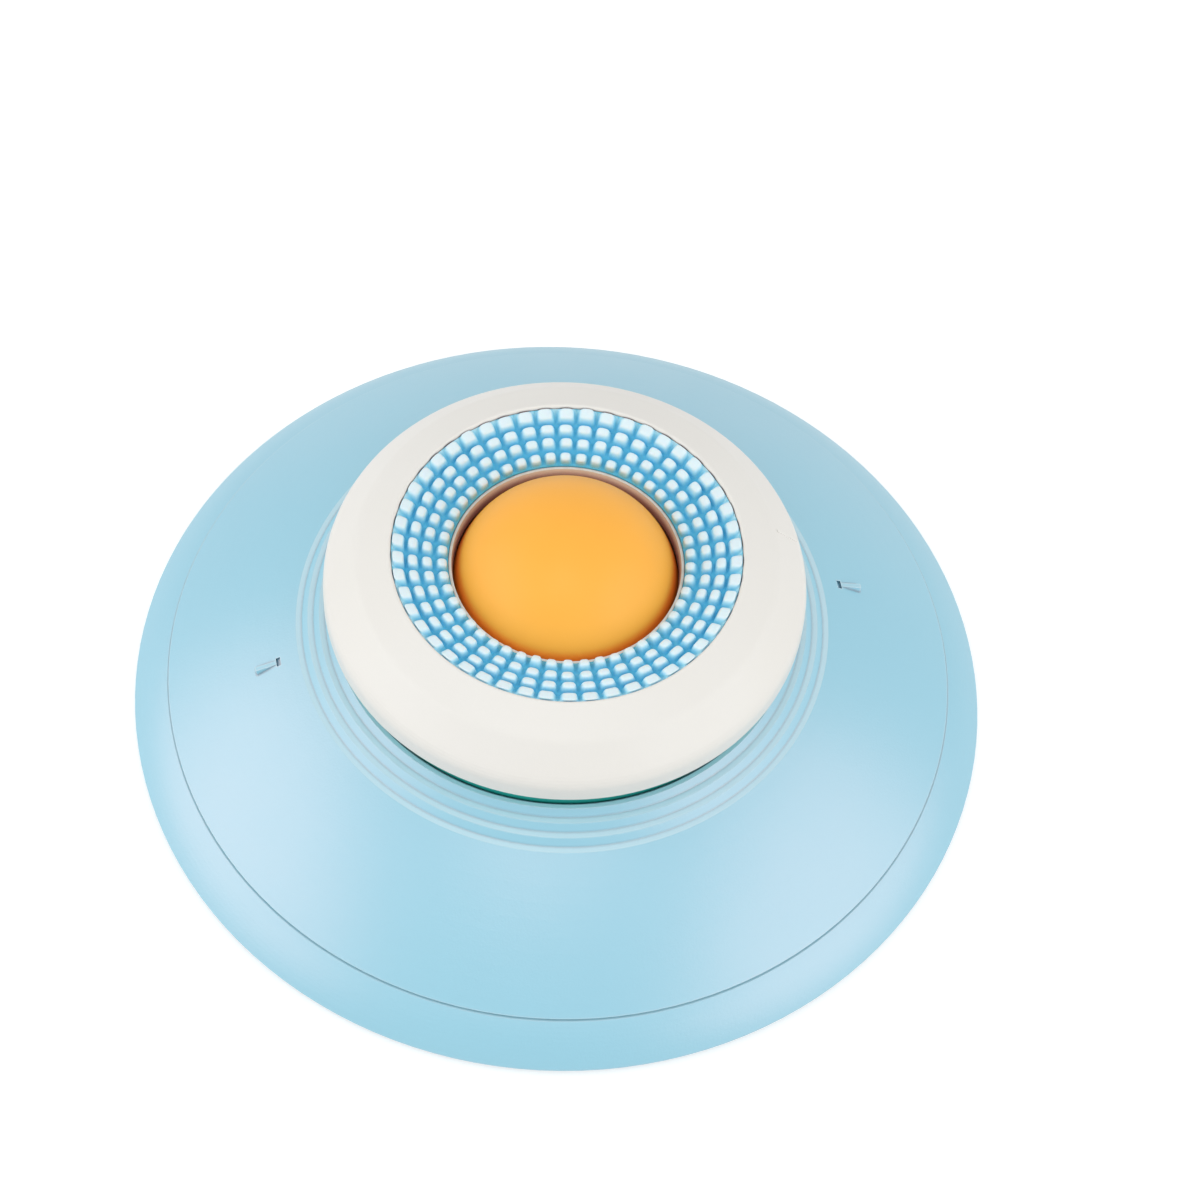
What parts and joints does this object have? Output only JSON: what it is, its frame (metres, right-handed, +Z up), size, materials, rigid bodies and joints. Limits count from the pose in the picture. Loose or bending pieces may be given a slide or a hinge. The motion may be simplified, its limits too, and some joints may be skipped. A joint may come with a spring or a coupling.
{
  "type": "lick toy",
  "caption": "Low round pet lick toy: a stepped cone base with a treat cup, a twist-off ring with a soft nubbed brush, and a ball that rolls in the ring's throat.",
  "frame": {"origin": "middle of the circle that the foot pads stand on, on the floor under the ball", "axes": "+Z up along the ball, ring and base axis; +X to the right and +Y to the back as the index notches are seen from the front"},
  "size_m": [0.17, 0.17, 0.0576],
  "materials": {
    "base_plastic": "fine matte moulded plastic, pale sky blue",
    "ring_plastic": "satin moulded plastic, warm white",
    "brush_silicone": "soft silicone, blue, paler at the nubs",
    "ball_plastic": "satin-gloss moulded plastic, orange",
    "seal_silicone": "silicone, teal",
    "cup_plastic": "moulded plastic, white",
    "pad_rubber": "grey rubber",
    "screw_steel": "plain steel"
  },
  "bodies": {
    "base": {"base_tray": "base_plastic", "base_cover": "base_plastic", "tray_screws": "screw_steel", "treat_cup": "cup_plastic", "foot_pad_1": "pad_rubber", "foot_pad_2": "pad_rubber", "foot_pad_3": "pad_rubber", "foot_pad_4": "pad_rubber"},
    "ring": {"lock_ring": "ring_plastic", "seal_ring": "seal_silicone", "brush_ring": "brush_silicone"},
    "ball": {"ball_upper_half": "ball_plastic", "ball_lower_half": "ball_plastic"}
  },
  "joints": [
    {"name": "ring_twist", "type": "hinge", "parent": "base", "child": "ring", "pos_m": [0, 0, 0.036], "axis": [0, 0, 1], "range_deg": [0, 40]},
    {"name": "ball_roll", "type": "hinge", "parent": "base", "child": "ball", "pos_m": [0, 0, 0.0354], "axis": [1, 0, 0], "continuous": true}
  ]
}
